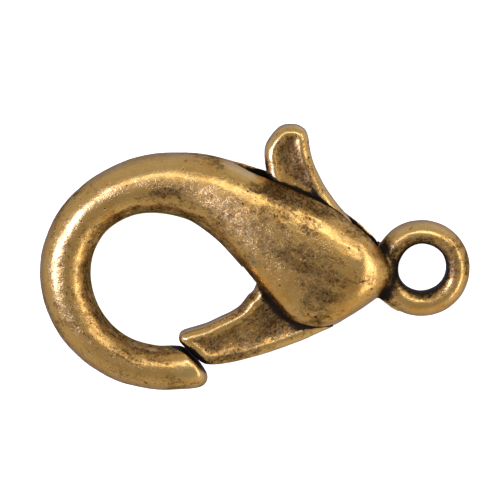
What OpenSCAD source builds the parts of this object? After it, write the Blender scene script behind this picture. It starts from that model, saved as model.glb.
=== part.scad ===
// Lobster clasp: a cast hook body with an eye, and a sprung lever that closes the hook.
// Millimetres. It lies flat: +X runs along the clasp towards the eye, +Y towards the thumb tab,
// +Z through its thickness. The origin is the middle of the eye's hole, at half the thickness.

/* [Hook] */
// Radius of the hook's curve, to the middle of the wire
hook_r = 5.33; // [4.6:0.01:6.2]
// Distance from the middle of the eye back to the middle of the hook's curve
hook_back = 15.45; // [14:0.05:17.5]
// Distance that the middle of the hook's curve lies below the middle of the eye
hook_low = 0.44; // [0:0.02:0.9]
// Width of the wire round the back of the hook, seen from the front
wire_w = 2.96; // [2.4:0.02:3.4]
// Thickness of the wire, front to back
wire_t = 3.04; // [2.4:0.02:3.6]
// Width of the wire at the hook's tip, seen from the front
tip_w = 2.62; // [2.2:0.02:3.2]
// Length of the straight stretch from the hook's curve to the tip's face
tip_run = 2.1; // [1.8:0.02:2.5]
// Slope of the tip's face, in degrees from the clasp's length
mouth_angle = 45; // [40:1:50]

/* [Body] */
// Width across the body where it is widest, seen from the front
body_w = 7.45; // [6.6:0.05:8.2]
// Thickness of the body, front to back
body_t = 4.8; // [4.2:0.05:5.6]
// Distance from the middle of the eye to the nose of the body
nose_gap = 1.82; // [1.7:0.01:2.0]
// Distance that the nose lies below the middle of the eye
nose_low = 0.33; // [0.1:0.01:0.6]
// Width of the slot that the lever swings in
slot_w = 2.2; // [1.8:0.02:2.6]
// Radius of the pocket inside the body that holds the spring
pocket_r = 3.05; // [2.9:0.01:3.1]

/* [Eye] */
// Radius of the eye's hole
eye_r = 1.45; // [1.2:0.01:1.5]
// Width of the eye's metal round the hole
eye_w = 1.36; // [1.1:0.02:1.6]
// Thickness of the eye, front to back
eye_t = 2.1; // [1.7:0.05:2.5]
// Length of the straight wall inside the eye's hole
eye_land = 0.9; // [0.6:0.05:1.2]

/* [Lever] */
// Distance from the middle of the eye back to the pivot
pivot_back = 6.8; // [6.5:0.05:7.1]
// Distance that the pivot lies below the middle of the eye
pivot_low = 0.47; // [0.2:0.01:0.7]
// Width of the gate arm, seen from the front
arm_w = 2.7; // [2.4:0.05:3]
// Height of the thumb tab's top above the pivot
tab_rise = 8.78; // [8:0.02:9.6]
// Width of the thumb tab, seen from the front
tab_w = 2.46; // [2.1:0.02:2.8]
// Radius of the rounding along the lever's edges
lever_round = 0.42; // [0.25:0.01:0.5]
// Radius of the hub round the pivot
hub_r = 1.9; // [1.6:0.05:2.1]
// How far the lever turns to open the hook, in degrees
open_angle = 22; // [15:1:24]

/* [Pin and spring] */
// Radius of the pivot pin
pin_r = 0.6; // [0.45:0.01:0.8]
// Depth of the pin's seat in the front cheek
pin_seat = 0.7; // [0.4:0.05:0.9]
// Depth of the pin's end below the back face
pin_sunk = 0.12; // [0.05:0.01:0.3]
// Thickness of the spring's strip
spring_t = 0.2; // [0.12:0.01:0.3]

/* [Clearances] */
// Gap between the hook's tip and the gate arm
gate_gap = 0.1; // [0.06:0.01:0.25]
// Gap on each side of the lever in its slot
side_gap = 0.08; // [0.04:0.01:0.15]
// Radial gap between the pin and the lever
pivot_gap = 0.04; // [0.02:0.01:0.08]
// Radial gap between the pin and the body
seat_gap = 0.015; // [0.01:0.005:0.03]
// Gap between the lever and the walls of its slot
wall_gap = 0.16; // [0.1:0.01:0.25]
// Gap at each end of the spring
spring_gap = 0.05; // [0.02:0.01:0.1]

/* [Hidden] */

bronze = [0.62, 0.46, 0.22];
bronze_dark = [0.5, 0.36, 0.18];
steel = [0.6, 0.6, 0.62];

ring_sides = 28;    // points round each section of the body
steps = 3;          // rings between two rows of a section table
edge_steps = 3;     // levels in the rounding of the lever's edge
outline_steps = 3;  // points between two rows of the lever's outline
far = 30;           // longer than the clasp, for cuts that run out of it

// Places that more than one piece uses
hook_mid = [-hook_back, -hook_low];
crown = hook_mid + [0, hook_r];
nose = [-nose_gap, -nose_low];
pivot = [-pivot_back, -pivot_low];
lever_t = slot_w - 2 * side_gap;

function turned(a, r = 1) = r * [cos(a), sin(a)];
function polar(centre, r, a) = centre + turned(a, r);
function arc(centre, r, from, to, n) = [for (i = [0 : n]) polar(centre, r, from + (to - from) * i / n)];

// Smooth curve through rows of numbers: the value between rows b and c, whose neighbours are a and d
function smooth(a, b, c, d, f) =
    0.5 * (2 * b + (c - a) * f + (2 * a - 5 * b + 4 * c - d) * f * f
        + (3 * b - a - 3 * c + d) * f * f * f);
function row(rows, i) = rows[max(0, min(len(rows) - 1, i))];
function open_curve(rows, n) = [
    for (i = [0 : len(rows) - 2], k = [0 : n - 1])
        smooth(row(rows, i - 1), rows[i], rows[i + 1], row(rows, i + 2), k / n),
    rows[len(rows) - 1]
];
function closed_curve(rows, n) = let (m = len(rows)) [
    for (i = [0 : m - 1], k = [0 : n - 1])
        smooth(rows[(i + m - 1) % m], rows[i], rows[(i + 1) % m], rows[(i + 2) % m], k / n)
];

// The body is a bar of changing section. Each section is
// [middle x, middle y, angle of its width, half width, half thickness, fullness],
// and a fullness of 2 is an ellipse, and more is squarer.
function section_point(s, a) =
    let (reach = pow(pow(abs(cos(a)), s[5]) + pow(abs(sin(a)), s[5]), -1 / s[5]),
         across = s[3] * reach * cos(a))
    [s[0] + across * cos(s[2]), s[1] + across * sin(s[2]), s[4] * reach * sin(a)];

// Tip of the hook, from its face back to the curve. Columns: share of the run along the tip,
// share of the tip's width above the wire's line, share of the turn to the tip's face,
// width and thickness as shares of the tip's width and the wire's thickness, fullness
tip_table = [
    [0.993, 0.200, 1.000, 0.50, 0.60, 2.4],
    [1.010, 0.128, 0.990, 0.80, 0.80, 2.4],
    [1.000, 0.053, 0.925, 0.99, 0.88, 2.3],
    [0.909, -0.004, 0.796, 1.08, 0.91, 2.2],
    [0.749, -0.026, 0.664, 1.09, 0.93, 2.1],
    [0.430, -0.028, 0.400, 1.02, 0.94, 2.0],
];
tip_line = hook_mid - [0, hook_r];
tip_rows = [for (t = tip_table) [
    tip_line[0] + t[0] * tip_run, tip_line[1] + t[1] * tip_w, 270 + t[2] * (90 - mouth_angle),
    t[3] * tip_w / 2, t[4] * wire_t / 2, t[5]
]];

// Curve of the hook. Columns: angle round the hook, share of the way from the tip's width to the
// wire's width, thickness as a share of the wire's, fullness
curve_table = [
    [270, 0.00, 0.95, 2.0],
    [252, 0.06, 0.96, 2.0],
    [234, 0.28, 0.98, 2.0],
    [216, 0.60, 0.99, 2.0],
    [198, 0.94, 1.00, 2.0],
    [180, 1.00, 1.00, 2.0],
    [162, 1.00, 1.00, 2.0],
    [144, 1.02, 1.00, 2.0],
    [126, 1.12, 1.01, 2.0],
    [108, 1.66, 1.05, 2.05],
];
curve_rows = [for (t = curve_table) let (middle = polar(hook_mid, hook_r, t[0])) [
    middle[0], middle[1], t[0], (tip_w + t[1] * (wire_w - tip_w)) / 2, t[2] * wire_t / 2, t[3]
]];

// From the crown of the hook to the nose. Columns: shares of the way along and down from the crown
// to the nose, angle of the section, width as shares of the wire's and the body's,
// thickness as shares of the wire's and the body's, fullness
body_table = [
    [0.000, 0.000, 90.0, 1.17, 0.00, 1.10, 0.00, 2.1],
    [0.143, 0.018, 82.0, 0.85, 0.18, 0.60, 0.35, 2.2],
    [0.253, 0.133, 80.0, 0.56, 0.39, 0.25, 0.65, 2.4],
    [0.347, 0.295, 80.5, 0.30, 0.59, 0.08, 0.84, 2.6],
    [0.439, 0.480, 80.8, 0.12, 0.77, 0.02, 0.94, 2.8],
    [0.527, 0.660, 80.2, 0.02, 0.92, 0.00, 0.985, 2.9],
    [0.604, 0.812, 80.1, 0.00, 1.00, 0.00, 1.00, 3.0],
    [0.694, 0.918, 80.2, 0.00, 0.98, 0.00, 1.00, 3.0],
    [0.782, 0.984, 80.9, 0.00, 0.88, 0.00, 0.98, 2.9],
    [0.864, 1.000, 81.2, 0.00, 0.69, 0.00, 0.92, 2.8],
    [0.932, 1.005, 83.3, 0.00, 0.48, 0.00, 0.79, 2.6],
    [0.974, 1.006, 84.2, 0.00, 0.28, 0.00, 0.60, 2.4],
    [0.996, 1.000, 86.6, 0.00, 0.12, 0.00, 0.33, 2.2],
];
body_rows = [for (t = body_table) [
    crown[0] + t[0] * (nose[0] - crown[0]), crown[1] + t[1] * (nose[1] - crown[1]), t[2],
    (t[3] * wire_w + t[4] * body_w) / 2, (t[5] * wire_t + t[6] * body_t) / 2, t[7]
]];

module bar() {
    rings = open_curve(concat(tip_rows, curve_rows, body_rows), steps);
    m = ring_sides;
    last = len(rings) - 1;
    points = [for (s = rings, k = [0 : m - 1]) section_point(s, 360 * k / m)];
    sides = [for (i = [0 : last - 1], k = [0 : m - 1]) let (j = (k + 1) % m)
        [i * m + k, (i + 1) * m + k, (i + 1) * m + j, i * m + j]];
    ends = [[for (k = [0 : m - 1]) k], [for (k = [m - 1 : -1 : 0]) last * m + k]];
    polyhedron(points = points, faces = concat(sides, ends));
}

// The eye is a ring, full and round, with a short straight wall in its hole and round its rim
module eye() {
    n = 10;
    shy = 11;    // angle that the rounding stops short of the rim by
    inside_r = eye_w * 0.42;
    outside_r = (eye_w - inside_r) / cos(shy);
    rise = (eye_t - eye_land) / 2;
    rim = [for (i = [0 : n]) let (a = 180 - (180 - shy) * i / n)
        [eye_r + inside_r + (a > 90 ? inside_r : outside_r) * cos(a),
         a > 90 ? eye_land / 2 + rise * sin(a) : eye_t / 2 * sin(a)]];
    back = [for (i = [n : -1 : 0]) [rim[i][0], -rim[i][1]]];
    rotate_extrude($fn = 96) polygon(concat(rim, back));
}

// Directions from the pivot that the slot, the lever and the spring share
seat_from = -60;   // lower wall of the slot, beside the mouth
seat_to = -38;     // face of the body that the spring pushes on
lug_angle = 21.5;  // face of the lever that the spring pushes on
arm_root = 193;    // upper edge of the gate arm where it comes out of the slot
tab_root = 43;     // edge of the thumb tab on the eye's side, at its root
open_margin = 1.5; // what the slot leaves past the opened lever

// Outline of the slot, seen from the front. Columns: shares of the body's width back from the
// pivot and up from it
slot_top = [
    [-0.585, 1.200],
    [-0.530, 0.882],
    [-0.356, 0.640],
    [-0.349, 0.271],
];
slot_foot = [
    [-0.591, -0.098],
    [-0.685, -0.393],
    [-0.685, -1.000],
];
tab_stop = tab_root - open_angle - open_margin;
slot_edge = concat(
    [for (place = slot_top) pivot + place * body_w],
    [polar(pivot, 0.495 * body_w, arm_root - open_angle)],
    [for (place = slot_foot) pivot + place * body_w],
    [polar(pivot, body_w, seat_from)],
    arc(pivot, hub_r + wall_gap, seat_from, seat_to, 4),
    arc(pivot, pocket_r, seat_to, -4, 6),
    [
        polar(pivot, 0.500 * body_w, tab_stop - 11),
        polar(pivot, 0.559 * body_w, tab_stop - 1),
        polar(pivot, 0.628 * body_w, tab_stop + 4),
        pivot + [0.620, 1.200] * body_w
    ]
);

module body() {
    color(bronze) difference() {
        union() {
            bar();
            eye();
        }
        translate([0, 0, -slot_w / 2]) linear_extrude(slot_w) polygon(slot_edge);
        translate([0, 0, -far / 2]) cylinder(r = eye_r, h = far, $fn = 64);
        translate([pivot[0], pivot[1], -far]) cylinder(r = pin_r + seat_gap, h = far + slot_w / 2 + pin_seat, $fn = 48);
    }
}

// Gate arm, from its root under the pivot round its end to its root in the slot. Columns: share of
// the way from the pivot to the end of the arm, share of the arm's width away from the hook's inside
arm_table = [
    [0.081, 1.176],
    [0.209, 1.114],
    [0.329, 1.026],
    [0.452, 0.930],
    [0.567, 0.820],
    [0.682, 0.697],
    [0.790, 0.562],
    [0.870, 0.448],
    [0.921, 0.365],
    [0.960, 0.280],
    [0.978, 0.195],
    [0.990, 0.080],
    [1.000, -0.060],
    [1.011, -0.230],
    [1.018, -0.400],
    [1.008, -0.515],
    [0.981, -0.566],
    [0.942, -0.552],
    [0.890, -0.499],
    [0.835, -0.438],
    [0.775, -0.386],
    [0.711, -0.350],
    [0.647, -0.318],
    [0.583, -0.297],
    [0.511, -0.298],
    [0.426, -0.343],
    [0.336, -0.422],
];
// Thumb tab, from its root on the hook's side over its top to its root on the eye's side. Columns:
// share of the tab's width from the pivot, share of the tab's rise
tab_table = [
    [-0.860, 0.240],
    [-0.865, 0.430],
    [-0.880, 0.610],
    [-0.922, 0.700],
    [-0.950, 0.763],
    [-0.958, 0.816],
    [-0.924, 0.869],
    [-0.829, 0.922],
    [-0.687, 0.966],
    [-0.545, 0.991],
    [-0.400, 1.000],
    [-0.213, 0.991],
    [-0.048, 0.963],
    [0.043, 0.922],
    [0.083, 0.869],
    [0.118, 0.816],
    [0.166, 0.763],
    [0.237, 0.703],
    [0.426, 0.595],
    [0.687, 0.488],
    [0.853, 0.430],
    [1.041, 0.370],
    [1.150, 0.300],
];

// Middle of the gate's end, which faces the middle of the tip's own face
mouth_normal = turned(90 - mouth_angle);
tip_face = [tip_line[0] + tip_table[0][0] * tip_run, tip_line[1] + tip_table[0][1] * tip_w];
gate_end = tip_face + gate_gap * mouth_normal;
arm_way = gate_end - pivot;
arm_side = arm_w * [-arm_way[1], arm_way[0]] / norm(arm_way);

arm_points = [for (t = arm_table) pivot + t[0] * arm_way + t[1] * arm_side];
tab_points = [for (t = tab_table) pivot + [t[0] * tab_w, t[1] * tab_rise]];
lug_points = [
    polar(pivot, pocket_r + 0.30, 34),
    polar(pivot, pocket_r - 0.10, 27),
    polar(pivot, pocket_r - 0.40, lug_angle + 1),
    polar(pivot, hub_r * 1.08, lug_angle - 2.5),
    polar(pivot, hub_r, 6),
    polar(pivot, hub_r, -14),
    polar(pivot, hub_r, -34),
    polar(pivot, hub_r, -50),
    polar(pivot, hub_r * 1.01, -62),
    polar(pivot, hub_r * 1.15, -68),
    polar(pivot, hub_r * 1.40, -67.5),
    polar(pivot, hub_r * 1.62, -65.5),
];

// A plate with rounded edges: the outline at each level, drawn in by what the rounding takes
function side_way(pts, i) = let (m = len(pts), d = pts[(i + 1) % m] - pts[(i + m - 1) % m])
    [d[1], -d[0]] / norm(d);
module rounded_plate(outline, t, r) {
    m = len(outline);
    up = [for (i = [0 : edge_steps]) let (a = 90 * i / edge_steps) [r * (1 - cos(a)), t / 2 - r + r * sin(a)]];
    both = concat([for (i = [edge_steps : -1 : 0]) [up[i][0], -up[i][1]]], up);
    points = [for (l = both, i = [0 : m - 1]) let (p = outline[i] + l[0] * side_way(outline, i)) [p[0], p[1], l[1]]];
    last = len(both) - 1;
    sides = [for (l = [0 : last - 1], i = [0 : m - 1]) let (j = (i + 1) % m)
        [l * m + i, l * m + j, (l + 1) * m + j, (l + 1) * m + i]];
    ends = [[for (i = [m - 1 : -1 : 0]) i], [for (i = [0 : m - 1]) last * m + i]];
    polyhedron(points = points, faces = concat(sides, ends));
}

module lever() {
    outline = closed_curve(concat(arm_points, tab_points, lug_points), outline_steps);
    color(bronze_dark) difference() {
        rounded_plate(outline, lever_t, lever_round);
        translate([pivot[0], pivot[1], -far / 2]) cylinder(r = pin_r + pivot_gap, h = far, $fn = 48);
    }
}

module pivot_pin() {
    foot = -body_t / 2 + pin_sunk;
    top = slot_w / 2 + pin_seat - seat_gap;
    color(bronze) translate([pivot[0], pivot[1], foot]) cylinder(r = pin_r, h = top - foot, $fn = 48);
}

// A strip folded into a V, its fold in the pocket and its legs on the seat and on the lever
module spring() {
    fold_r = pocket_r - spring_gap - spring_t / 2;
    end_r = hub_r + wall_gap + spring_t;
    end_angle = asin((spring_t / 2 + spring_gap) / end_r);
    low = polar(pivot, end_r, seat_to + end_angle);
    high = polar(pivot, end_r, lug_angle - 3 - end_angle);
    fold = polar(pivot, fold_r, (seat_to + lug_angle) / 2);
    color(steel) translate([0, 0, -lever_t / 2 + lever_round]) linear_extrude(lever_t - 2 * lever_round)
        union() {
            strip(low, fold);
            strip(fold, high);
        }
}

module strip(a, b) {
    along = b - a;
    translate(a) rotate(atan2(along[1], along[0])) {
        translate([0, -spring_t / 2]) square([norm(along), spring_t]);
        circle(d = spring_t, $fn = 24);
        translate([norm(along), 0]) circle(d = spring_t, $fn = 24);
    }
}

body();
lever();
pivot_pin();
spring();
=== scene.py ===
import math

import bmesh
import bpy
import numpy as np
from mathutils import Matrix, Vector, noise
from mathutils.bvhtree import BVHTree


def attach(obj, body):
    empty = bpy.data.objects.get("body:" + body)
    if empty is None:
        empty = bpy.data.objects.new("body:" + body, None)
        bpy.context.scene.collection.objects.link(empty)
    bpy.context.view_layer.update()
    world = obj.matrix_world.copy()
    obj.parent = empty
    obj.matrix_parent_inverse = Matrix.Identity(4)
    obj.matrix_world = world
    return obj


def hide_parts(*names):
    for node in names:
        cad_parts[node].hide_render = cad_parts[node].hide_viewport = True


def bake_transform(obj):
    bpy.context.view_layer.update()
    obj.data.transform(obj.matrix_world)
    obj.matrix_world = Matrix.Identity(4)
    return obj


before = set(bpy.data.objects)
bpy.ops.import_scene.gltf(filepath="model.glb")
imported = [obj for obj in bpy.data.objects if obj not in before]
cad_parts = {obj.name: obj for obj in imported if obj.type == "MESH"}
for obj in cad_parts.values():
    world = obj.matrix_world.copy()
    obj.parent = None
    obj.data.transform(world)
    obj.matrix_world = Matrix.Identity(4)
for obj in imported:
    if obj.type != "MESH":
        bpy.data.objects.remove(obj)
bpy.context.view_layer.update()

# Everything is modelled in millimetres and scaled to metres as each piece is finished.
METRES = 0.001

# Named sizes of the clasp, in millimetres
HOOK_R, HOOK_BACK, HOOK_LOW = 5.33, 15.45, 0.44
WIRE_W, WIRE_T, TIP_W, TIP_RUN, MOUTH_ANGLE = 2.96, 3.04, 2.62, 2.10, 45.0
BODY_W, BODY_T, NOSE_GAP, NOSE_LOW, SLOT_W = 7.45, 4.80, 1.82, 0.33, 2.20
EYE_R, EYE_W, EYE_T, EYE_LAND = 1.45, 1.36, 2.10, 0.90
PIVOT = np.array([-6.80, -0.47])
ARM_W, TAB_RISE, TAB_W, LEVER_T, LEVER_ROUND = 2.70, 8.78, 2.46, 2.04, 0.42
HUB_R, POCKET_R, PIN_R, PIN_SEAT, PIN_SUNK, SPRING_T = 1.90, 3.05, 0.60, 0.70, 0.12, 0.20
SEAT_GAP, PIVOT_GAP, GATE_GAP, WALL_GAP, SPRING_GAP = 0.015, 0.04, 0.10, 0.16, 0.05
POCKET_LOW, POCKET_HIGH, LUG_HIGH, SPRING_HIGH = -38, -4, 22.5, 21.5
# The eye's ring sits a trace low, and its hole is a trace oval and off the centre
EYE_DROP, HOLE_SHIFT, HOLE_TURN = 0.075, np.array([0.085, 0.01]), 130
HOLE_LONG, HOLE_SHORT, HOLE_LIP = EYE_R - 0.02, EYE_R - 0.09, 0.06
# How fine the skins of the castings are, and the most triangles that the body keeps
ROUGH_SKIN, BODY_SKIN, LEVER_SKIN, BODY_TRIANGLES = 0.10, 0.065, 0.058, 190000
# What smoothing takes off the outside, and is given back
BODY_LOSS, LEVER_LOSS = 0.014, 0.012

HOOK_MID = np.array([-HOOK_BACK, -HOOK_LOW])
CROWN = HOOK_MID + [0, HOOK_R]
NOSE = np.array([-NOSE_GAP, -NOSE_LOW])
TIP_LINE = HOOK_MID - [0, HOOK_R]


def turned(angle, r=1.0):
    return r * np.array([math.cos(math.radians(angle)), math.sin(math.radians(angle))])


def curve_through(rows, steps, closed=False):
    """Points of a smooth curve that passes through the rows."""
    rows = np.array(rows, float)
    n, out = len(rows), []
    for i in range(n if closed else n - 1):
        near = [(i + k) % n if closed else min(max(i + k, 0), n - 1) for k in (-1, 0, 1, 2)]
        a, b, c, d = rows[near]
        for f in np.arange(steps) / steps:
            out.append(0.5 * (2 * b + (c - a) * f + (2 * a - 5 * b + 4 * c - d) * f * f
                              + (3 * b - a - 3 * c + d) * f ** 3))
    return np.array(out if closed else out + [rows[-1]])


# Modelling by hand, in edit mode

def deselect():
    if bpy.context.object and bpy.context.object.mode != 'OBJECT':
        bpy.ops.object.mode_set(mode='OBJECT')
    bpy.ops.object.select_all(action='DESELECT')


def pick(obj):
    deselect()
    obj.select_set(True)
    bpy.context.view_layer.objects.active = obj


def edit(obj):
    pick(obj)
    bpy.ops.object.mode_set(mode='EDIT')
    return bmesh.from_edit_mesh(obj.data)


def leave():
    bpy.ops.object.mode_set(mode='OBJECT')


def apply_modifier(obj, kind, **settings):
    pick(obj)
    modifier = obj.modifiers.new(kind.lower(), kind)
    for key, value in settings.items():
        setattr(modifier, key, value)
    bpy.ops.object.modifier_apply(modifier=modifier.name)


def disc(name, outline, z):
    """A flat face with the outline given, at height z."""
    deselect()
    bpy.ops.mesh.primitive_circle_add(vertices=len(outline), radius=1, fill_type='NGON', location=(0, 0, 0))
    obj = bpy.context.object
    obj.name = name
    for vertex, (x, y) in zip(obj.data.vertices, outline):
        vertex.co = (x, y, z)
    return obj


def plate(name, outline, low, high):
    obj = disc(name, outline, low)
    edit(obj)
    bpy.ops.mesh.select_all(action='SELECT')
    bpy.ops.mesh.extrude_region_move(TRANSFORM_OT_translate={"value": (0, 0, high - low)})
    bpy.ops.mesh.select_all(action='SELECT')
    bpy.ops.mesh.normals_make_consistent(inside=False)
    leave()
    return obj


def in_order(obj):
    """Puts vertices and faces in one fixed order, because edit mode leaves another one each run."""
    places = [tuple(v.co) for v in obj.data.vertices]
    order = sorted(range(len(places)), key=places.__getitem__)
    new = {old: k for k, old in enumerate(order)}
    faces = []
    for polygon in obj.data.polygons:
        corners = [new[k] for k in polygon.vertices]
        first = corners.index(min(corners))
        faces.append(corners[first:] + corners[:first])
    obj.data.clear_geometry()
    obj.data.from_pydata([places[k] for k in order], [], sorted(faces))


def rounded(place):
    return tuple(round(q, 5) for q in place)


def swept_bar(name, sections, sides):
    """A bar drawn out section by section: the end face is extruded, then set to the next section."""
    angles = np.arange(sides) * 2 * math.pi / sides
    c, s = np.cos(angles), np.sin(angles)

    def ring(row):
        x, y, turn, half_w, half_t, full = row
        reach = (np.abs(c) ** full + np.abs(s) ** full) ** (-1 / full)
        way = turned(turn)
        return [Vector((x + half_w * r * a * way[0], y + half_w * r * a * way[1], half_t * r * b))
                for r, a, b in zip(reach, c, s)]

    deselect()
    bpy.ops.mesh.primitive_circle_add(vertices=sides, radius=1, fill_type='NGON')
    obj = bpy.context.object
    obj.name = name
    places = ring(sections[0])
    for vertex, place in zip(obj.data.vertices, places):
        vertex.co = place
    edit(obj)
    bpy.ops.mesh.select_all(action='SELECT')
    for row in sections[1:]:
        bpy.ops.mesh.extrude_region_move()
        mesh = bmesh.from_edit_mesh(obj.data)
        end = [v for v in mesh.verts if v.select]
        old = {rounded(place): k for k, place in enumerate(places)}
        order = [old[rounded(v.co)] for v in end]
        places = ring(row)
        for vertex, k in zip(end, order):
            vertex.co = places[k]
        bmesh.update_edit_mesh(obj.data)
    bpy.ops.mesh.select_all(action='SELECT')
    bpy.ops.mesh.normals_make_consistent(inside=False)
    leave()
    in_order(obj)
    return obj


def spun_ring(name, profile, steps):
    """A profile in the plane through the eye's hole, spun round the hole."""
    obj = disc(name, profile, 0)
    mesh = edit(obj)
    bpy.ops.mesh.select_all(action='SELECT')
    for v in mesh.verts:
        v.co = (v.co.x, 0, v.co.y)
    bmesh.update_edit_mesh(obj.data)
    bpy.ops.mesh.delete(type='ONLY_FACE')
    bpy.ops.mesh.select_all(action='SELECT')
    bpy.ops.mesh.spin(steps=steps, angle=2 * math.pi, center=(0, 0, 0), axis=(0, 0, 1))
    bpy.ops.mesh.select_all(action='SELECT')
    bpy.ops.mesh.remove_doubles(threshold=0.001)
    bpy.ops.mesh.normals_make_consistent(inside=False)
    leave()
    return obj


def rod(name, centre, r, low, high, sides=48):
    deselect()
    bpy.ops.mesh.primitive_cylinder_add(vertices=sides, radius=r, depth=high - low,
                                        location=(centre[0], centre[1], (low + high) / 2))
    obj = bpy.context.object
    obj.name = name
    bpy.ops.object.transform_apply(location=True, rotation=True, scale=True)
    return obj


def combine(obj, other, operation, solver='EXACT'):
    in_order(other)
    apply_modifier(obj, 'BOOLEAN', operation=operation, object=other, solver=solver)
    bpy.data.objects.remove(other)


def cast_skin(obj, voxel, rounds):
    """Turns joined solids into the one soft-edged skin that a casting has."""
    pick(obj)
    obj.data.remesh_voxel_size = voxel
    obj.data.remesh_voxel_adaptivity = 0
    bpy.ops.object.voxel_remesh()
    if rounds:
        apply_modifier(obj, 'SMOOTH', factor=0.5, iterations=rounds)


def coordinates(obj):
    out = np.empty(len(obj.data.vertices) * 3)
    obj.data.vertices.foreach_get('co', out)
    return out.reshape(-1, 3)


def set_coordinates(obj, places):
    obj.data.vertices.foreach_set('co', np.ascontiguousarray(places).ravel())
    obj.data.update()


def normals(obj):
    out = np.empty(len(obj.data.vertices) * 3)
    obj.data.vertices.foreach_get('normal', out)
    return out.reshape(-1, 3)


def swell(obj, rise):
    """Gives back what the smoothing took from the outside."""
    set_coordinates(obj, coordinates(obj) + normals(obj) * rise)


def lumps(obj, coarse, fine, seed):
    """The small unevenness that tumbling leaves on a casting."""
    places, ways = coordinates(obj), normals(obj)
    shift = Vector((seed * 7.3, seed * 3.1, seed))
    rise = np.array([coarse * noise.noise(Vector(p) * 0.75 + shift)
                     + fine * noise.noise(Vector(p) * 2.3 - shift) for p in places])
    set_coordinates(obj, places + ways * rise[:, None])


def edges_of(obj):
    out = np.empty(len(obj.data.edges) * 2, int)
    obj.data.edges.foreach_get('vertices', out)
    return out.reshape(-1, 2)


def neighbours_mean(obj, values):
    """The mean of a number over each vertex's neighbours."""
    a, b = edges_of(obj).T
    count = np.bincount(a, minlength=len(values)) + np.bincount(b, minlength=len(values))
    total = np.bincount(a, values[b], len(values)) + np.bincount(b, values[a], len(values))
    return total / np.maximum(count, 1)


def spread(obj, values, rounds):
    """Evens a number out over the skin."""
    for _ in range(rounds):
        values = 0.5 * values + 0.5 * neighbours_mean(obj, values)
    return values


def keep_number(obj, name, values):
    obj.data.attributes.new(name, 'FLOAT', 'POINT').data.foreach_set('value', values.astype(np.float32))


def mark_hollows(pieces, rays, near, wide):
    """Notes at each vertex how closed in it is, near by and further off, which darkens the finish as patina
    in crevices and as painted shade between parts, and how much of an edge it stands on, where the tumbling
    wears it bright."""
    meshes = []
    for obj in pieces:
        mesh = bmesh.new()
        mesh.from_mesh(obj.data)
        meshes.append(BVHTree.FromBMesh(mesh))
        mesh.free()
    golden_angle = math.pi * (3 - math.sqrt(5))
    for obj in pieces:
        places, ways = coordinates(obj), normals(obj)
        hollow, shade = np.zeros(len(places)), np.zeros(len(places))
        for i, (p, n) in enumerate(zip(places, ways)):
            n = Vector(n)
            side = n.orthogonal().normalized()
            other = n.cross(side)
            start = Vector(p) + n * 0.02
            for k in range(rays):
                up = math.sqrt(1 - (k + 0.5) / rays)
                flat = math.sqrt(1 - up * up)
                turn = golden_angle * k + i * 0.7
                way = n * up + side * (flat * math.cos(turn)) + other * (flat * math.sin(turn))
                met = wide
                for tree in meshes:
                    hit = tree.ray_cast(start, way, met)[3]
                    if hit is not None:
                        met = hit
                hollow[i] += max(0.0, 1 - met / near)
                shade[i] += 1 - met / wide
        # hollow: patina in crevices and painted shade where parts meet; shade: painted shade from further
        # off
        keep_number(obj, 'hollow', spread(obj, hollow / rays, 3))
        keep_number(obj, 'shade', spread(obj, shade / rays, 4))
        mean = np.stack([neighbours_mean(obj, places[:, k]) for k in range(3)], axis=1)
        bend = ((places - mean) * ways).sum(1)
        keep_number(obj, 'worn', spread(obj, bend / 0.003, 4))
        print(obj.name, len(places), 'vertices')


def finish_piece(obj, body, replaced):
    """Brings a piece to metres and says what it is. One given no body is put on none."""
    pick(obj)
    set_coordinates(obj, coordinates(obj) * METRES)
    bpy.ops.object.shade_smooth()
    if body:
        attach(obj, body)
    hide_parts(replaced)


# Body: hook, cheeks and eye

# Share of the tip's run, share of the tip's width up, share of the turn, width, thickness, fullness
TIP = [
    (0.993, 0.200, 1.000, 0.50, 0.60, 2.4),
    (1.010, 0.128, 0.990, 0.80, 0.80, 2.4),
    (1.000, 0.053, 0.925, 0.99, 0.88, 2.3),
    (0.909, -0.014, 0.796, 1.08, 0.91, 2.2),
    (0.749, -0.045, 0.664, 1.09, 0.93, 2.1),
    (0.430, -0.065, 0.400, 1.02, 0.94, 2.0),
]
# Angle round the hook, share of the wire's width outside its circle, share of the way from the tip's
# width to the wire's, thickness, fullness
CURVE = [
    (270, 0.055, -0.15, 0.95, 2.0),
    (252, 0.020, -0.09, 0.96, 2.0),
    (234, -0.004, 0.10, 0.98, 2.0),
    (216, -0.012, 0.52, 0.99, 2.0),
    (198, -0.012, 0.84, 1.00, 2.0),
    (180, 0.000, 0.98, 1.00, 2.0),
    (162, 0.000, 0.94, 1.00, 2.0),
    (144, 0.000, 0.80, 1.00, 2.0),
    (126, -0.020, 1.02, 1.01, 2.0),
    (108, -0.020, 1.55, 1.05, 2.05),
]
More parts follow.
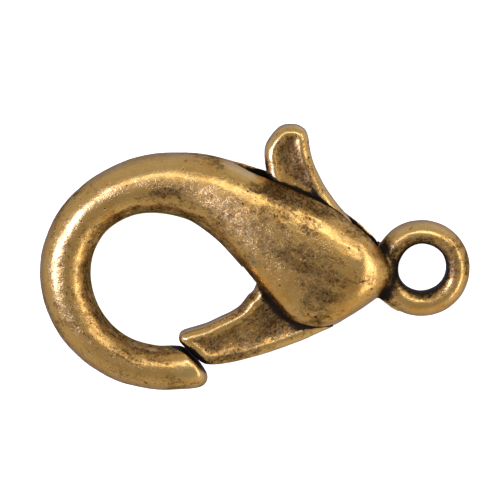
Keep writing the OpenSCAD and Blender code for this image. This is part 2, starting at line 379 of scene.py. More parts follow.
# Shares of the way from the crown to the nose, angle, width of wire and of body, thickness of
# wire and of body, fullness
CHEEKS = [
    (0.000, 0.000, 90.0, 1.17, 0.00, 1.10, 0.00, 2.1),
    (0.143, 0.030, 82.0, 0.85, 0.18, 0.60, 0.35, 2.2),
    (0.253, 0.139, 80.0, 0.56, 0.372, 0.25, 0.65, 2.4),
    (0.347, 0.297, 80.5, 0.30, 0.573, 0.08, 0.84, 2.6),
    (0.439, 0.480, 80.8, 0.12, 0.77, 0.02, 0.94, 2.8),
    (0.527, 0.660, 80.2, 0.02, 0.92, 0.00, 0.985, 2.9),
    (0.604, 0.806, 80.1, 0.00, 1.00, 0.00, 1.00, 3.0),
    (0.694, 0.912, 80.2, 0.00, 0.98, 0.00, 1.00, 3.0),
    (0.782, 0.984, 80.9, 0.00, 0.865, 0.00, 0.98, 2.9),
    (0.864, 0.992, 81.2, 0.00, 0.665, 0.00, 0.95, 2.8),
    (0.932, 0.996, 83.3, 0.00, 0.467, 0.00, 0.785, 2.6),
    (0.974, 1.002, 84.2, 0.00, 0.33, 0.00, 0.60, 2.4),
    (0.998, 1.002, 86.0, 0.00, 0.22, 0.00, 0.45, 2.3),
    (1.006, 1.000, 86.6, 0.00, 0.10, 0.00, 0.30, 2.2),
]
# Outline of the slot: shares of the body's width back from the pivot and up from it
SLOT_TOP = [(-0.385, 1.200), (-0.385, 0.800), (-0.356, 0.640), (-0.349, 0.271), (-0.490, 0.070)]
SLOT_FOOT = [(-0.591, -0.098), (-0.685, -0.393), (-0.685, -1.000)]
SLOT_END = [(0.494, 0.077), (0.530, 0.177), (0.577, 0.248), (0.620, 1.200)]
# Where the slot begins, seen from above: shares of the body's width from the pivot, and of the slot's width
SLOT_START = [(-0.598, 0.000), (-0.592, 0.075), (-0.572, 0.155), (-0.535, 0.250), (-0.485, 0.350),
              (-0.430, 0.440), (-0.360, 0.505)]
# From which height up, and how far, the slot's start is cut
START_LOW, START_HIGH = 3.6, 9.0
# A point on the slot's edge, and the way that the edge runs, where the back cheek stands higher
RIDGE, RIDGE_TURN = np.array([-11.0, 3.2]), -22


def arc(r, start, end, n):
    return [PIVOT + turned(start + (end - start) * i / n, r) for i in range(n + 1)]


def body_sections():
    rows = [(TIP_LINE[0] + run * TIP_RUN, TIP_LINE[1] + up * TIP_W, 270 + turn * (90 - MOUTH_ANGLE),
             wide * TIP_W / 2, thick * WIRE_T / 2, full) for run, up, turn, wide, thick, full in TIP]
    for angle, lean, share, thick, full in CURVE:
        x, y = HOOK_MID + turned(angle, HOOK_R + lean * WIRE_W)
        rows.append((x, y, angle, (TIP_W + share * (WIRE_W - TIP_W)) / 2, thick * WIRE_T / 2, full))
    for along, down, angle, wire_w, body_w, wire_t, body_t, full in CHEEKS:
        rows.append((CROWN[0] + along * (NOSE[0] - CROWN[0]), CROWN[1] + down * (NOSE[1] - CROWN[1]), angle,
                     (wire_w * WIRE_W + body_w * BODY_W) / 2, (wire_t * WIRE_T + body_t * BODY_T) / 2, full))
    return curve_through(rows, 4)


def eye_profile():
    inner, outer = EYE_W * 0.42, EYE_W * 0.58
    rise = (EYE_T - EYE_LAND) / 2
    rim = []
    for i in range(17):
        a = math.radians(180 - 180 * i / 16)
        c, s = math.cos(a), math.sin(a)
        if c < 0:
            rim.append((EYE_R + inner + (inner + HOLE_LIP) * c, EYE_LAND / 2 + rise * s))
        else:
            rim.append((EYE_R + inner + outer * c, EYE_T / 2 * s))
    return rim + [(x, -z) for x, z in rim[-2::-1]]


# Outline of the thin web of metal under the eye, where it runs out of the body
WEB = [
    (-2.9, -1.2), (-2.62, -1.66), (-2.43, -1.84), (-2.08, -2.11), (-1.73, -2.38), (-1.3, -2.6), (-1.5, -1.9),
]
WEB_T = 1.10


def ramp(values, low, high):
    f = np.clip((values - low) / (high - low), 0, 1)
    return f * f * (3 - 2 * f)


def raise_back_cheek(body):
    """The back cheek stands a little higher along the slot than the front one."""
    places = coordinates(body)
    way = turned(RIDGE_TURN)
    side = np.array([-way[1], way[0]])
    along, above = (places[:, :2] - RIDGE) @ way, (places[:, :2] - RIDGE) @ side
    share = ramp(-places[:, 2], 0.1, 1.0) * ramp(above, 0.6, 2.4)
    share *= ramp(along, -2.0, 0.4) * ramp(-along, -9.8, -8.8)
    rise = 0.20 + 0.05 * ramp(along, 0.0, 1.0) - 0.08 * ramp(along, 4.0, 6.0) + 0.16 * ramp(along, 7.7, 8.4)
    places[:, :2] += (rise * share)[:, None] * side
    set_coordinates(body, places)


def slot_start():
    """The slot opens gradually: a wedge that widens from nothing, cut down from the top."""
    rows = SLOT_START + [(a, -b) for a, b in SLOT_START[:0:-1]]
    wedge = plate('slot_start', [(PIVOT[0] + a * BODY_W, b * SLOT_W) for a, b in rows],
                  START_LOW, START_HIGH)
    places = coordinates(wedge)
    set_coordinates(wedge, places[:, [0, 2, 1]])
    edit(wedge)
    bpy.ops.mesh.select_all(action='SELECT')
    bpy.ops.mesh.normals_make_consistent(inside=False)
    leave()
    return wedge


def bore_tool():
    """The eye's hole, a trace longer from upper left to lower right, as it was cast."""
    way, side = turned(HOLE_TURN, HOLE_LONG), turned(HOLE_TURN - 90, HOLE_SHORT)
    angles = [2 * math.pi * i / 72 for i in range(72)]
    outline = [HOLE_SHIFT + math.cos(a) * way - math.sin(a) * side for a in angles]
    return plate('bore', outline, -4, 4)


def thin_out(obj, most):
    """Takes triangles out where the skin is flat enough, down to the number given."""
    sides = np.empty(len(obj.data.polygons), int)
    obj.data.polygons.foreach_get('loop_total', sides)
    apply_modifier(obj, 'DECIMATE', ratio=min(1.0, most / (sides - 2).sum()))
    apply_modifier(obj, 'SMOOTH', factor=0.5, iterations=1)


def lay_grain(body):
    """For each vertex, how far along the bar it lies, and how far across."""
    line = curve_through(body_sections()[:, :2], 12)
    length = np.concatenate([[0], np.cumsum(np.linalg.norm(np.diff(line, axis=0), axis=1))])
    places = coordinates(body)
    along, across = np.zeros(len(places)), np.zeros(len(places))
    for k in range(0, len(places), 2000):
        gap = places[k:k + 2000, None, :2] - line[None]
        near = np.argmin((gap ** 2).sum(2), axis=1)
        low = np.clip(near - 1, 0, len(line) - 2)
        way = line[low + 2 - (low + 2 >= len(line))] - line[low]
        way /= np.linalg.norm(way, axis=1)[:, None]
        left = places[k:k + 2000, :2] - line[near]
        along[k:k + 2000] = length[near] + (left * way).sum(1)
        across[k:k + 2000] = left[:, 0] * -way[:, 1] + left[:, 1] * way[:, 0]
    return spread(body, along, 12), spread(body, across, 12)


def make_body():
    body = swept_bar('hook_body', body_sections(), 36)
    eye = spun_ring('eye', eye_profile(), 72)
    pick(eye)
    bpy.ops.transform.translate(value=(0, -EYE_DROP, 0))
    bpy.ops.object.transform_apply(location=True)
    combine(body, eye, 'UNION')
    combine(body, plate('web', WEB, -WEB_T / 2, WEB_T / 2), 'UNION')
    cast_skin(body, ROUGH_SKIN, 4)
    swell(body, BODY_LOSS)
    raise_back_cheek(body)
    outline = [PIVOT + np.array(p) * BODY_W for p in SLOT_TOP + SLOT_FOOT] + [PIVOT + turned(-60, BODY_W)]
    outline += arc(HUB_R + WALL_GAP, -60, POCKET_LOW, 4) + arc(POCKET_R, POCKET_LOW, POCKET_HIGH, 6)
    outline += [PIVOT + np.array(p) * BODY_W for p in SLOT_END]
    combine(body, plate('slot', outline, -SLOT_W / 2, SLOT_W / 2), 'DIFFERENCE', 'MANIFOLD')
    combine(body, slot_start(), 'DIFFERENCE', 'MANIFOLD')
    combine(body, bore_tool(), 'DIFFERENCE', 'MANIFOLD')
    combine(body, rod('seat', PIVOT, PIN_R + SEAT_GAP, -6, SLOT_W / 2 + PIN_SEAT), 'DIFFERENCE', 'MANIFOLD')
    cast_skin(body, BODY_SKIN, 3)
    thin_out(body, BODY_TRIANGLES)
    lumps(body, 0.024, 0.008, 1)
    return body


# Lever: gate arm and thumb tab

# Share of the way from the pivot to the arm's end, share of the arm's width to the outside
ARM = [
    (0.062, 1.236), (0.209, 1.150), (0.329, 1.066), (0.452, 0.972), (0.567, 0.864), (0.682, 0.741),
    (0.790, 0.602), (0.870, 0.484), (0.921, 0.394), (0.960, 0.300), (0.978, 0.205), (0.990, 0.080),
    (1.000, -0.060), (1.011, -0.230), (1.018, -0.400), (1.008, -0.505), (0.981, -0.555),
    (0.942, -0.540), (0.890, -0.487), (0.835, -0.425), (0.775, -0.374), (0.711, -0.342),
    (0.647, -0.303), (0.583, -0.275), (0.511, -0.270), (0.426, -0.343), (0.336, -0.422),
]
# Share of the tab's width from the pivot, share of the tab's rise
TAB = [
    (-0.850, 0.240), (-0.855, 0.430), (-0.872, 0.610), (-0.918, 0.700), (-0.948, 0.763),
    (-0.956, 0.816), (-0.918, 0.869), (-0.803, 0.922), (-0.672, 0.966), (-0.545, 0.991),
    (-0.400, 1.000), (-0.190, 0.997), (-0.006, 0.967), (0.062, 0.922), (0.088, 0.869),
    (0.122, 0.816), (0.176, 0.763), (0.260, 0.703), (0.452, 0.595), (0.715, 0.488),
    (0.885, 0.430), (1.060, 0.370), (1.150, 0.300),
]
# Radius and angle round the pivot of the lug that the spring pushes on, and of the hub
LUG = [
    (POCKET_R + 0.30, 34), (POCKET_R - 0.10, 27), (POCKET_R - 0.40, LUG_HIGH), (HUB_R * 1.08, 19),
    (HUB_R, 6), (HUB_R, -14), (HUB_R, -34), (HUB_R, -50), (HUB_R * 1.01, -62), (HUB_R * 1.15, -68),
    (HUB_R * 1.42, -66.5), (HUB_R * 1.72, -61.3),
]


def lever_outline():
    tip_face = np.array([TIP_LINE[0] + TIP[0][0] * TIP_RUN, TIP_LINE[1] + TIP[0][1] * TIP_W])
    way = tip_face + GATE_GAP * turned(90 - MOUTH_ANGLE) - PIVOT
    side = ARM_W * np.array([-way[1], way[0]]) / np.linalg.norm(way)
    rows = [PIVOT + a * way + b * side for a, b in ARM]
    rows += [PIVOT + np.array([a * TAB_W, b * TAB_RISE]) for a, b in TAB]
    rows += [PIVOT + turned(angle, r) for r, angle in LUG]
    return curve_through(rows, 4, closed=True)


def from_edge(places, outline):
    """Distance of each place from the outline, seen from the front."""
    a, b = outline, np.roll(outline, -1, axis=0)
    out = np.full(len(places), 1e9)
    for start, end in zip(a, b):
        way = end - start
        f = np.clip(((places - start) @ way) / max(way @ way, 1e-12), 0, 1)
        out = np.minimum(out, np.linalg.norm(places - start - f[:, None] * way, axis=1))
    return out


# How far the lever's face lies below its full thickness, by the distance from the lever's outline:
# a rounded bead all round, and a hollow inside it
BEAD_TOP, BEAD_DROP = 0.48, 0.010
BEAD = [
    (0.00, 0.45), (0.04, 0.33), (0.10, 0.245), (0.20, 0.145), (0.30, 0.075), (0.40, 0.028),
    (BEAD_TOP, BEAD_DROP), (0.56, 0.022), (0.68, 0.070), (0.85, 0.115), (1.10, 0.140),
]


def make_lever():
    outline = lever_outline()
    lever = plate('lever_plate', outline[::-1], -LEVER_T / 2, LEVER_T / 2)
    cast_skin(lever, LEVER_SKIN, 0)
    places = coordinates(lever)
    far = from_edge(places[:, :2], outline)
    rim, drop = np.array(BEAD).T
    from_hub = np.clip((np.linalg.norm(places[:, :2] - PIVOT, axis=1) - 1.5) / 1.5, 0, 1)
    fall = np.interp(far, rim, drop)
    fall = np.where(far > BEAD_TOP, BEAD_DROP + (fall - BEAD_DROP) * from_hub, fall)
    places[:, 2] *= (LEVER_T / 2 - fall) / (LEVER_T / 2)
    set_coordinates(lever, places)
    combine(lever, rod('bore', PIVOT, PIN_R + PIVOT_GAP, -4, 4), 'DIFFERENCE', 'MANIFOLD')
    apply_modifier(lever, 'SMOOTH', factor=0.5, iterations=3)
    swell(lever, LEVER_LOSS)
    lumps(lever, 0.018, 0.008, 2)
    return lever


# Pin and spring

def make_pin():
    pin = rod('pin', PIVOT, PIN_R, -BODY_T / 2 + PIN_SUNK, SLOT_W / 2 + PIN_SEAT - SEAT_GAP, 64)
    mesh = edit(pin)
    bpy.ops.mesh.select_all(action='DESELECT')
    bpy.ops.mesh.select_mode(type='EDGE')
    for e in mesh.edges:
        e.select = abs(e.verts[0].co.z - e.verts[1].co.z) < 1e-4
    bmesh.update_edit_mesh(pin.data)
    bpy.ops.mesh.bevel(offset=0.07, segments=4, profile=0.5)
    bpy.ops.mesh.select_mode(type='VERT')
    leave()
    return pin


def make_spring():
    fold = PIVOT + turned((POCKET_LOW + SPRING_HIGH) / 2, POCKET_R - SPRING_GAP - SPRING_T / 2)
    end_r = HUB_R + WALL_GAP + SPRING_T
    slack = math.degrees(math.asin((SPRING_T / 2 + SPRING_GAP) / end_r))
    low = PIVOT + turned(POCKET_LOW + slack, end_r)
    high = PIVOT + turned(SPRING_HIGH - 3 - slack, end_r)
    centre = curve_through([low, low + 0.5 * (fold - low), fold + 0.06 * (low - fold),
                            fold + 0.06 * (high - fold), high + 0.5 * (fold - high), high], 5)
    way = np.gradient(centre, axis=0)
    way /= np.linalg.norm(way, axis=1)[:, None]
    side = np.stack([-way[:, 1], way[:, 0]], axis=1) * SPRING_T * 0.46
    outline = np.concatenate([centre + side, (centre - side)[::-1]])
    half = LEVER_T / 2 - LEVER_ROUND
    spring = plate('spring_strip', outline, -half, half)
    apply_modifier(spring, 'BEVEL', width=0.03, segments=2, limit_method='ANGLE',
                   angle_limit=math.radians(60))
    return spring


# Finishes

class Socket:
    """A shader value that takes arithmetic."""

    def __init__(self, finish, socket):
        self.finish, self.socket = finish, socket

    def maths(self, operation, *values):
        return self.finish.node('Math', {'operation': operation}, dict(enumerate(values)))

    def __add__(self, other):
        return self.maths('ADD', self, other)

    def __radd__(self, other):
        return self.maths('ADD', other, self)

    def __sub__(self, other):
        return self.maths('SUBTRACT', self, other)

    def __rsub__(self, other):
        return self.maths('SUBTRACT', other, self)

    def __mul__(self, other):
        return self.maths('MULTIPLY', self, other)

    def __rmul__(self, other):
        return self.maths('MULTIPLY', other, self)

    def between(self, low, high):
        """0 at low and 1 at high, with soft ends."""
        return self.finish.node('MapRange', {'interpolation_type': 'SMOOTHSTEP', 'clamp': True},
                                {'Value': self, 'From Min': low, 'From Max': high})

    def size(self):
        return self.maths('ABSOLUTE', self)

    def top(self, other):
        return self.maths('MAXIMUM', self, other)

    def bottom(self, other):
        return self.maths('MINIMUM', self, other)


class Finish:
    def __init__(self, name):
        self.material = bpy.data.materials.new(name)
        self.material.use_nodes = True
        self.tree = self.material.node_tree
        self.skin = self.tree.nodes['Principled BSDF']

    def feed(self, socket, value):
        if isinstance(value, Socket):
            self.tree.links.new(value.socket, socket)
        else:
            socket.default_value = value

    def node(self, kind, settings=None, values=None, out=0):
        made = self.tree.nodes.new('ShaderNode' + kind)
        for key, value in (settings or {}).items():
            setattr(made, key, value)
        for key, value in (values or {}).items():
            self.feed(made.inputs[key], value)
        return Socket(self, made.outputs[out])

    def set(self, **values):
        for key, value in values.items():
            self.feed(self.skin.inputs[key.replace('_', ' ')], value)

    def blend(self, share, low, high, way='MIX'):
        return self.node('Mix', {'data_type': 'RGBA', 'blend_type': way}, {0: share, 6: low, 7: high}, out=2)

    def grain(self, place, scale, detail=3.0, rough=0.55, warp=0.0):
        return self.node('TexNoise', {}, {'Vector': place, 'Scale': scale, 'Detail': detail,
                                          'Roughness': rough, 'Distortion': warp})

    def number(self, name):
        return self.node('Attribute', {'attribute_name': name}, out='Fac')

    def in_mm(self):
        place = self.node('TexCoord', out='Object')
        return self.node('VectorMath', {'operation': 'SCALE'}, {0: place, 'Scale': 1000.0})

    def stretched(self, place, scale):
        return self.node('VectorMath', {'operation': 'MULTIPLY'}, {0: place, 1: scale})


def colour(r, g, b):
    """A colour as the eye names it, from 0 to 255, for a shader."""
    def linear(v):
        v /= 255
        return v / 12.92 if v <= 0.04045 else ((v + 0.055) / 1.055) ** 2.4
    return (linear(r), linear(g), linear(b), 1.0)


# Brass tones. Pale carries wear and painted highlights; stain, deep and black carry patina and painted
# shade.
GOLD, PALE_WEAR_AND_SHEEN_TONE, ORANGE = colour(231, 180, 99), colour(246, 212, 143), colour(228, 168, 77)
STAIN_AND_SHADE_TONE, DEEP_STAIN_AND_SHADE_TONE, BLACK_PATINA_AND_SHADE_TONE = colour(150, 111, 61), colour(80, 52, 23), colour(22, 16, 11)
EDGE = colour(228, 198, 150)


def antique_brass(name, seed):
    """Cast brass, blackened and then tumbled until the high places shine through. The darkening in hollows
    and between parts is patina and painted shade, and some lighter patches are painted highlights.
    """
    f = Finish(name)
    shift = (seed * 11.0, seed * 5.0, seed * 3.0)
    place = f.node('VectorMath', {'operation': 'ADD'}, {0: f.in_mm(), 1: shift})
    flow = f.node('Attribute', {'attribute_name': 'grain'}, out='Vector')
    hollow, shade, worn = f.number('hollow'), f.number('shade'), f.number('worn')
    patina_shade_and_sheen, golden = f.number('patina_shade_and_sheen'), f.number('golden')

    cloud = f.grain(place, 0.5, 3.0, 0.6, 0.4)
    blotch = f.grain(place, 1.5, 7.0, 0.70, 0.5)
    streak = f.grain(f.stretched(flow, (0.42, 1.5, 1.2)), 1.0, 7.0, 0.66, 0.3)
    scratch = f.grain(f.stretched(flow, (1.1, 6.5, 4.0)), 1.0, 4.0, 0.6, 0.6)
    speck = f.grain(place, 6.5, 4.0, 0.72)
    grit = f.grain(place, 21.0, 2.0, 0.6)
    swirl = f.grain(place, 2.6, 3.0, 0.62, 2.2)
    hair = (f.grain(place, 2.1, 1.0, 0.5, 0.9) - 0.5).size().between(0.085, 0.010)
    hair = hair.top((f.grain(place, 3.0, 1.0, 0.5, 0.7) - 0.48).size().between(0.080, 0.010))
    hair = hair * swirl.between(0.42, 0.56)
    pits = f.node('TexVoronoi', {'feature': 'F1'}, {'Vector': place, 'Scale': 1.4, 'Randomness': 1.0})
    pit = (pits + (speck - 0.5) * 0.16).between(0.125, 0.075) * cloud.between(0.43, 0.52)

    # Stain and deep stain: patina mottling, with painted shade from the far occlusion and the darker patches
    stain_and_shade_field = blotch * 0.5 + streak * 0.5 + patina_shade_and_sheen + shade * 0.34 - (worn * 0.06).bottom(0.09)
    stain_and_shade_field = stain_and_shade_field + (speck - 0.5) * 0.36 + (grit - 0.5) * 0.18
    stain_and_shade_field = stain_and_shade_field + (swirl - 0.5) * 0.45 + (scratch - 0.5) * 0.32
    stain_and_shade = stain_and_shade_field.between(0.470, 0.575)
    deep_stain_and_shade = stain_and_shade_field.between(0.550, 0.720)
    # Near-black: patina in crevices, and painted shade from the occlusion numbers
    black_patina_and_shade = hollow * 3.3 + (speck - 0.5) * 0.5 + (blotch - 0.5) * 0.45 + shade * 0.5 + patina_shade_and_sheen * 0.8
    black_patina_and_shade = black_patina_and_shade.between(0.24, 0.56)
    # Paler on worn edges, and where the lighter patches lie, which are partly painted highlights
    wear_and_painted_sheen = (worn * 0.55 + (speck - 0.5) * 0.9 + (cloud - 0.5) * 0.8 - patina_shade_and_sheen * 2.0).between(0.05, 0.9)
    rough = (stain_and_shade * 0.7 + hair * 0.3 - worn * 0.4 + 0.25).between(0.0, 1.0)

    tone = f.blend((cloud + golden * 0.3).between(0.50, 0.68), GOLD, ORANGE)
    tone = f.blend(wear_and_painted_sheen * (0.62 - golden * 0.5), tone, PALE_WEAR_AND_SHEEN_TONE)
    tone = f.blend(stain_and_shade * 0.85, tone, STAIN_AND_SHADE_TONE)
    tone = f.blend(deep_stain_and_shade * (0.45 + speck * 0.9).bottom(1.0), tone, DEEP_STAIN_AND_SHADE_TONE)
    tone = f.blend(hair * (1.0 - black_patina_and_shade) * (0.5 - deep_stain_and_shade * 0.25), tone, PALE_WEAR_AND_SHEEN_TONE)
    tone = f.blend(black_patina_and_shade.top(pit * 0.85), tone, BLACK_PATINA_AND_SHADE_TONE)
    dull = 0.27 + stain_and_shade * 0.06 + deep_stain_and_shade * 0.12 + black_patina_and_shade * 0.2 - hair * 0.06
    dull = dull + (speck - 0.5) * 0.12 + (scratch - 0.5) * 0.14 + (grit - 0.5) * rough * 0.12
    lacquer = 0.42 + (speck - 0.5) * 0.9 + (grit - 0.5) * 0.3 - stain_and_shade * 0.3 - deep_stain_and_shade * 0.3 - black_patina_and_shade
    f.set(Base_Color=tone, Metallic=1.0 - black_patina_and_shade * 0.5, Roughness=dull.top(0.08), Specular_Tint=EDGE)
    f.set(Coat_Weight=lacquer.between(0.0, 1.0), Coat_IOR=1.5, Coat_Roughness=0.24)
    dents = f.grain(place, 1.7, 2.0, 0.5, 0.4)
    ripple = f.grain(place, 6.0, 1.5, 0.5, 0.4)
    height = dents * 0.8 + (ripple * 0.22 + hair * 0.06) * rough - deep_stain_and_shade * 0.12 - pit * 1.2
    f.set(Normal=f.node('Bump', {}, {'Strength': 0.5, 'Distance': 0.00004, 'Height': height}))
    return f.material


def plain_metal(name, tint, shade, rough, scale):
    """Turned or rolled metal with fine tool lines."""
    f = Finish(name)
    place = f.in_mm()
    lines = f.grain(f.stretched(place, (18.0, 1.2, 1.2)), scale, 3.0, 0.6)
    cloud = f.grain(place, 1.6, 4.0, 0.6)
    f.set(Base_Color=f.blend(cloud.between(0.35, 0.7), tint, shade), Metallic=1.0,
          Roughness=rough + (lines - 0.5) * 0.2)
    f.set(Normal=f.node('Bump', {}, {'Strength': 0.35, 'Distance': 0.00002, 'Height': lines}))
    return f.material


def dress(obj, material):
    obj.data.materials.clear()
    obj.data.materials.append(material)


# Where the front carries more of the dark finish, or less where the amount is below 0. Most patches are
# patina; where the nose meets the ring and along the cheek's edge by the gate they are partly painted
# shade, and the lighter ones on the body's shoulder and nose, the hook's outer curve and the eye's top are
# partly painted highlights. Columns: place, half length, half width, turn, amount
BODY_PATINA_SHADE_AND_SHEEN = [
    (-7.0, 0.3, 1.9, 1.1, -38, 0.10), (-6.2, -1.8, 1.3, 0.5, 22, 0.12), (-10.6, 3.0, 1.8, 1.1, -40, 0.07),
    (-8.0, 3.7, 1.9, 0.5, -32, 0.07), (-4.2, 2.4, 1.6, 0.5, -42, 0.10), (-17.2, -5.1, 1.0, 0.3, -28, 0.13),
    (-15.2, -5.4, 0.9, 0.25, -4, 0.12), (-14.8, 4.4, 0.9, 0.3, 5, 0.12), (-12.6, 6.2, 1.2, 0.3, -6, 0.08),
    (-20.9, 0.9, 0.5, 1.4, 0, 0.05), (-10.6, 4.9, 1.5, 0.7, -22, -0.12), (-4.2, 1.2, 2.1, 0.6, -42, -0.12),
    (-8.0, -1.3, 1.6, 0.8, -50, -0.12), (-4.2, -2.0, 1.4, 0.5, 38, -0.12), (-19.6, 3.4, 2.6, 0.7, 52, -0.06),
    (-15.4, 5.8, 2.6, 0.6, 4, -0.17), (-1.75, 0.9, 0.9, 0.5, -50, 0.17), (-1.75, -1.05, 1.0, 0.45, 50, 0.26),
    (1.7, 0.6, 0.35, 0.9, 0, 0.14), (0.2, 1.75, 0.9, 0.3, 0, 0.16), (0.0, -2.5, 1.6, 0.5, 8, -0.12),
    (-10.2, 5.7, 1.1, 0.5, -22, -0.60), (-9.1, -1.3, 2.4, 0.25, -51, 0.34), (-5.9, -2.9, 1.5, 0.3, 24, 0.10),
    (-1.2, 2.0, 0.9, 0.4, 32, -0.14), (-4.6, 2.6, 2.6, 0.22, -41, -0.06), (-9.3, 4.9, 2.3, 0.50, -25, 0.26),
    (-6.2, 3.7, 1.4, 0.3, -33, 0.14), (-7.0, 1.6, 2.2, 1.4, -40, 0.03), (-6.2, -0.2, 1.6, 1.0, -40, 0.02),
    (-13.5, -5.9, 1.0, 0.45, -15, -0.22), (0.0, 2.2, 1.5, 0.35, 0, -0.22), (-1.66, -0.1, 0.16, 0.9, 0, 0.45),
    (1.9, -1.6, 0.9, 0.4, 45, -0.08), (-2.9, -0.3, 0.9, 0.5, 90, -0.02), (-5.0, 2.9, 2.4, 0.6, -38, 0.02),
    (0.4, -1.72, 0.9, 0.2, 12, 0.14), (1.75, -0.4, 0.2, 0.7, 0, 0.10), (-1.1, 1.3, 0.5, 0.4, 40, 0.12),
    (-0.68, 2.33, 0.16, 0.07, 35, 0.45), (2.55, 0.6, 0.12, 0.9, 0, 0.14), (1.2, -2.2, 0.7, 0.12, 25, 0.08),
]
# On the lever: patina patches, and a darker one on the arm's upper bead that is painted shade dimming its
# highlight
LEVER_PATINA_AND_SHADE = [
    (-8.0, 7.0, 0.6, 0.9, 0, 0.07), (-7.2, 5.4, 0.7, 1.0, 30, 0.06), (-8.8, -3.0, 0.9, 0.7, 0, 0.14),
    (-12.3, -4.3, 1.0, 0.5, 20, 0.04), (-11.0, -5.2, 2.2, 0.35, 14, 0.16), (-6.6, 5.4, 1.6, 0.3, -63, 0.10),
    (-7.2, 4.6, 1.9, 0.3, -30, -0.26), (-10.2, -2.1, 1.2, 0.25, 49, 0.15),
]
# Where the finish has worn to a warmer gold
BODY_GOLDEN = [
    (-8.5, -1.0, 1.3, 0.55, -50, 1.0), (-4.3, -2.0, 1.5, 0.5, 38, 0.8), (0.0, -2.5, 1.8, 0.4, 5, 0.7),
]


def patch_amounts(obj, patches):
    """How much the patches add at each vertex of the front."""
    places = coordinates(obj)
    total = np.zeros(len(places))
    for x, y, long, wide, angle, amount in patches:
        way = turned(angle)
        off = places[:, :2] - [x, y]
        reach = np.sqrt(((off @ way) / long) ** 2 + ((off @ [-way[1], way[0]]) / wide) ** 2)
        total += amount * ramp(-reach, -1.7, -0.3) * ramp(places[:, 2], -0.4, 0.4)
    return total


def keep_grain(obj, along, across):
    flow = np.stack([along, across, coordinates(obj)[:, 2]], axis=1).astype(np.float32)
    obj.data.attributes.new('grain', 'FLOAT_VECTOR', 'POINT').data.foreach_set('vector', flow.ravel())


# The pieces, with what their finish follows

body, lever, pin, spring = make_body(), make_lever(), make_pin(), make_spring()
mark_hollows([body, lever], 20, 1.3, 7.0)
# Darker along the hook's inner side: patina and painted shade
inside = ramp(HOOK_R - np.linalg.norm(coordinates(body)[:, :2] - HOOK_MID, axis=1), 0.70, 1.40)
from_hole = np.linalg.norm(coordinates(body)[:, :2], axis=1) - EYE_R
hole = 0.24 * ramp(-from_hole, -0.34, 0.02) + 0.30 * ramp(-from_hole, -0.12, 0.0)
keep_number(body, 'patina_shade_and_sheen', patch_amounts(body, BODY_PATINA_SHADE_AND_SHEEN) + 0.15 * inside + hole)
keep_number(body, 'golden', patch_amounts(body, BODY_GOLDEN))
keep_grain(body, *lay_grain(body))

places = coordinates(lever)
reach = np.linalg.norm(places[:, :2] - PIVOT, axis=1)
bed = ramp(from_edge(places[:, :2], lever_outline()), 0.5, 0.85) * ramp(np.abs(places[:, 2]), 0.4, 0.7)
keep_number(lever, 'patina_shade_and_sheen', patch_amounts(lever, LEVER_PATINA_AND_SHADE) + 0.08 * bed)
keep_number(lever, 'golden', 0.8 * bed)
keep_grain(lever, reach, 4 * np.arctan2(places[:, 1] - PIVOT[1], PIVOT[0] - places[:, 0]))

places = coordinates(pin)
for name, value in (('hollow', 0.03), ('shade', 0.1), ('worn', 0.0), ('patina_shade_and_sheen', 0.08), ('golden', 0.0)):
    keep_number(pin, name, np.full(len(places), value))
keep_grain(pin, places[:, 0], places[:, 1])

dress(body, antique_brass('antique_brass_body', 1))
dress(lever, antique_brass('antique_brass_lever', 2))
dress(pin, antique_brass('antique_brass_pin', 3))
dress(spring, plain_metal('spring_steel', colour(170, 170, 172), colour(120, 122, 126), 0.3, 3.0))
finish_piece(body, 'frame', 'body')
finish_piece(lever, 'gate', 'lever')
finish_piece(pin, 'frame', 'pivot_pin')
finish_piece(spring, None, 'spring')
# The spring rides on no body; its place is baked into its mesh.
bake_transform(spring)

# Table, light and camera

deselect()
# A hair lower than the cheek's half thickness, because the casting is uneven
table_z = -BODY_T / 2 * METRES - 0.00003
bpy.ops.mesh.primitive_plane_add(size=1.2, location=(-0.01, 0, table_z))
table = bpy.context.object
table.name = 'table'
table.visible_glossy = False
paper = Finish('white_paper')
fibre = paper.grain(paper.in_mm(), 0.8, 4.0, 0.6)
paper.set(Base_Color=paper.blend(fibre, (0.93, 0.93, 0.93, 1), (0.96, 0.96, 0.96, 1)), Roughness=0.8,
          Emission_Color=(1, 1, 1, 1), Emission_Strength=0.88)
dress(table, paper.material)

CENTRE = Vector((-10.0, 0.98, 0)) * METRES
LAMP_FAR = 200


def softbox(name, azimuth, off_axis, size, power, tint=(1, 1, 1), roll=0):
    """A lamp off_axis degrees away from straight above, towards azimuth, size in mm."""
    deselect()
    flat = turned(azimuth, LAMP_FAR * math.sin(math.radians(off_axis)))
    place = CENTRE + METRES * Vector((flat[0], flat[1], LAMP_FAR * math.cos(math.radians(off_axis))))
    bpy.ops.object.light_add(type='AREA', location=place)
    light = bpy.context.object
    light.name = name
    light.data.shape = 'RECTANGLE'
    light.data.size, light.data.size_y = size[0] * METRES, size[1] * METRES
    light.data.energy, light.data.color = power, tint
    facing = (CENTRE - light.location).to_track_quat('-Z', 'Y').to_matrix()
    light.rotation_euler = (facing @ Matrix.Rotation(math.radians(roll), 3, 'Z')).to_euler()


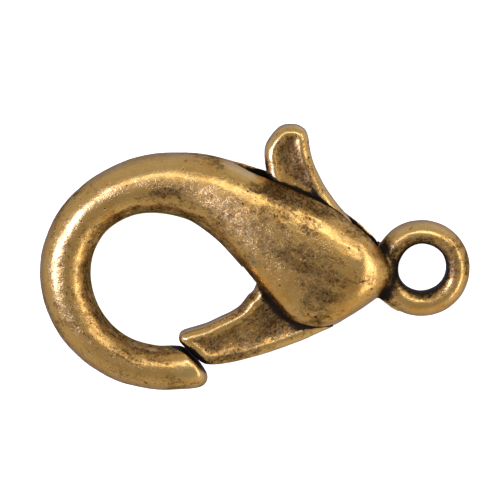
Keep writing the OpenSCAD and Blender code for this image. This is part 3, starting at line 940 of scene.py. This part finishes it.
softbox('left_box', 175, 42, (62, 125), 0.20, (0.90, 1.02, 1.95), roll=35)
softbox('right_strip', 1, 54, (270, 46), 0.088, (1.0, 0.97, 1.06))
softbox('top_box', 88, 27, (190, 50), 0.042)
softbox('right_box', 60, 31, (110, 70), 0.024)


class Surround(Finish):
    """What the metal sees all round: a dim room, darker overhead and brighter to the lower right."""

    def __init__(self, name):
        self.world = bpy.data.worlds.new(name)
        self.world.use_nodes = True
        self.tree = self.world.node_tree
        self.skin = self.tree.nodes['Background']
        self.way = self.node('TexCoord', out='Generated')

    def towards(self, x, y, z):
        sides = {0: self.way, 1: (x, y, z)}
        return self.node('VectorMath', {'operation': 'DOT_PRODUCT'}, sides, out='Value')


room = Surround('studio')
bpy.context.scene.world = room.world
lower_right, overhead = room.towards(0.80, -0.55, -0.20), room.towards(0, 0, 1)
far_corner = room.towards(0.50, 0.70, -0.50)
air = room.blend(lower_right.between(0.2, 0.9), (1, 0.97, 0.92, 1), (1.28, 1.20, 1.02, 1))
air = room.blend(overhead.between(0.3, 0.95) * 0.35, air, (0, 0, 0, 1))
air = room.blend(far_corner.between(0.72, 0.96), air, (1.4, 1.35, 1.3, 1))
air = room.blend(overhead.between(0.0, -0.6), air, (0.66, 0.76, 1.40, 1), 'MULTIPLY')
room.set(Color=air, Strength=0.47)

# The photo is 500 pixels wide, and 25 mm of the clasp take up 429 of them.
PHOTO_PIXELS, CLASP_PIXELS, CLASP_LENGTH = 500, 429, 25
SENSOR, CAMERA_FAR, CAMERA_TILT = 36, 0.150, math.radians(5.7)

deselect()
camera_way = Vector((0, math.sin(CAMERA_TILT), math.cos(CAMERA_TILT)))
bpy.ops.object.camera_add(location=CENTRE + camera_way * CAMERA_FAR)
camera = bpy.context.object
camera.rotation_euler = (-CAMERA_TILT, 0, 0)
camera.data.sensor_width = SENSOR
camera.data.lens = SENSOR * CAMERA_FAR / (PHOTO_PIXELS * CLASP_LENGTH / CLASP_PIXELS * METRES)
camera.data.clip_start, camera.data.clip_end = 0.005, 5
bpy.context.scene.camera = camera
bpy.context.scene.view_settings.view_transform = 'Standard'
